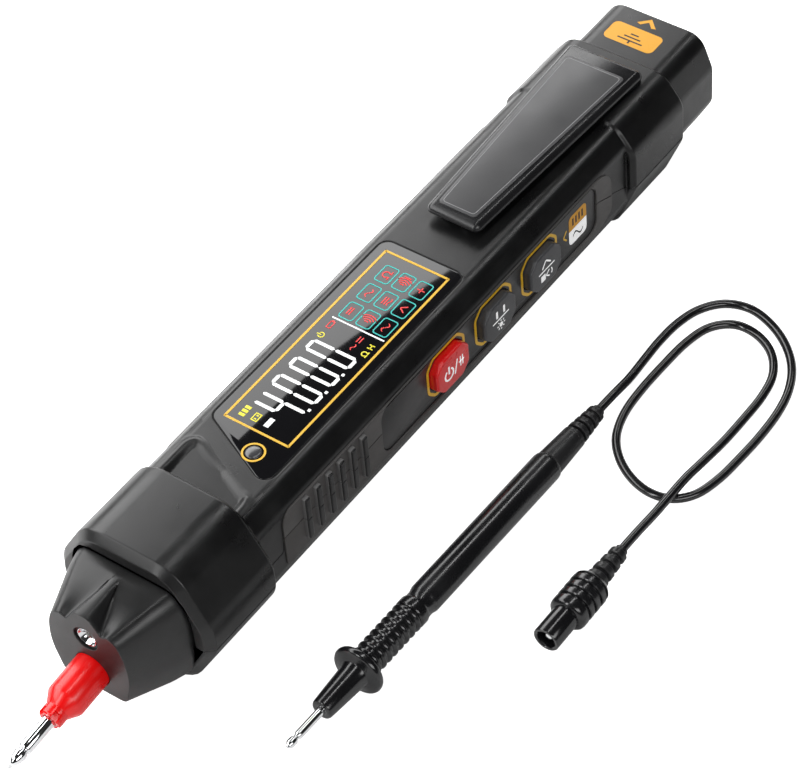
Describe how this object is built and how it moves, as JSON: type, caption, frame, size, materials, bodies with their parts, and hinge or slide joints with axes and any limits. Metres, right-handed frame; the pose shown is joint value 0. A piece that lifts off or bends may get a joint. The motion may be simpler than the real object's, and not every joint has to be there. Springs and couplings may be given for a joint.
{
  "type": "pen multimeter",
  "caption": "Pen-shaped digital multimeter with a needle probe, flat display on top, side keys, pocket clip and a detachable test lead.",
  "frame": {"origin": "middle of the pen in X and Y, on the bench that the collar and the rear block rest on", "axes": "+X from the probe needle to the COM socket, +Z out of the display, keys on the -Y side"},
  "size_m": [0.2126, 0.0851, 0.0314],
  "materials": {
    "shell": "satin black moulded plastic",
    "cover": "satin black moulded plastic",
    "screw_steel": "zinc plated",
    "red_plastic": "glossy red moulded plastic",
    "needle_steel": "polished plating",
    "brass": "bare brass",
    "reflector": "bright metal coating",
    "led_white": "clear lens over a yellow chip",
    "board": "green solder mask",
    "lens": "dark tinted hard-coated window",
    "lcd": "glass panel",
    "white_plastic": "white diffusing plastic",
    "lamp": "smoked plastic",
    "panel": "dark grey printed inlay",
    "key_grey": "dark grey silicone-soft plastic",
    "switch_steel": "nickel plated",
    "cell": "printed sleeve on steel",
    "lead_plastic": "glossy black plastic",
    "lead_rubber": "smooth black insulation"
  },
  "bodies": {
    "meter": {"upper_housing": "shell", "lower_housing": "shell", "housing_screws": "screw_steel", "nose_cone": "shell", "probe_holder": "red_plastic", "probe_needle": "needle_steel", "probe_terminal": "brass", "flashlight_reflector": "reflector", "flashlight_led": "led_white", "flashlight_board": "board", "sensing_strip": "brass", "display_lens": "lens", "lcd_panel": "lcd", "backlight_tray": "white_plastic", "indicator_lamp": "lamp", "side_panel": "panel", "key_board": "board", "tactile_switches": "switch_steel", "main_board": "board", "buzzer": "shell", "aaa_cell_left": "cell", "aaa_cell_right": "cell", "cell_springs": "switch_steel", "cell_contacts": "switch_steel", "com_insulator": "shell", "com_sleeve": "brass", "com_strip": "brass"},
    "battery_cover": {"battery_cover": "cover", "battery_cover_screw": "screw_steel"},
    "power_key": {"power_key": "red_plastic"},
    "hold_key": {"hold_key": "key_grey"},
    "select_key": {"select_key": "key_grey"},
    "clip": {"clip": "shell"},
    "test_lead": {"lead_needle": "needle_steel", "lead_guard": "lead_plastic", "lead_grip": "lead_plastic", "lead_barrel": "lead_plastic", "lead_strain_relief": "lead_rubber", "lead_cord": "lead_rubber", "plug_strain_relief": "lead_rubber", "plug_body": "lead_plastic", "plug_shroud": "lead_plastic", "plug_pin": "needle_steel"}
  },
  "joints": [
    {"name": "power_key_press", "type": "slide", "parent": "meter", "child": "power_key", "axis": [0, 1, 0], "range_m": [0, 0.0004], "stiffness_N_per_m": 4000},
    {"name": "hold_key_press", "type": "slide", "parent": "meter", "child": "hold_key", "axis": [0, 1, 0], "range_m": [0, 0.0004], "stiffness_N_per_m": 4000},
    {"name": "select_key_press", "type": "slide", "parent": "meter", "child": "select_key", "axis": [0, 1, 0], "range_m": [0, 0.0004], "stiffness_N_per_m": 4000},
    {"name": "clip_flex", "type": "hinge", "parent": "meter", "child": "clip", "pos_m": [0.08698, 0, 0.0284], "axis": [0, 1, 0], "range_deg": [0, 4], "stiffness_Nm_per_rad": 4},
    {"name": "battery_cover_off", "type": "slide", "parent": "meter", "child": "battery_cover", "axis": [0, 0, -1], "range_m": [0, 0.012]},
    {"name": "test_lead_lift", "type": "slide", "parent": "meter", "child": "test_lead", "axis": [0, 0, 1], "range_m": [0, 0.05]}
  ]
}
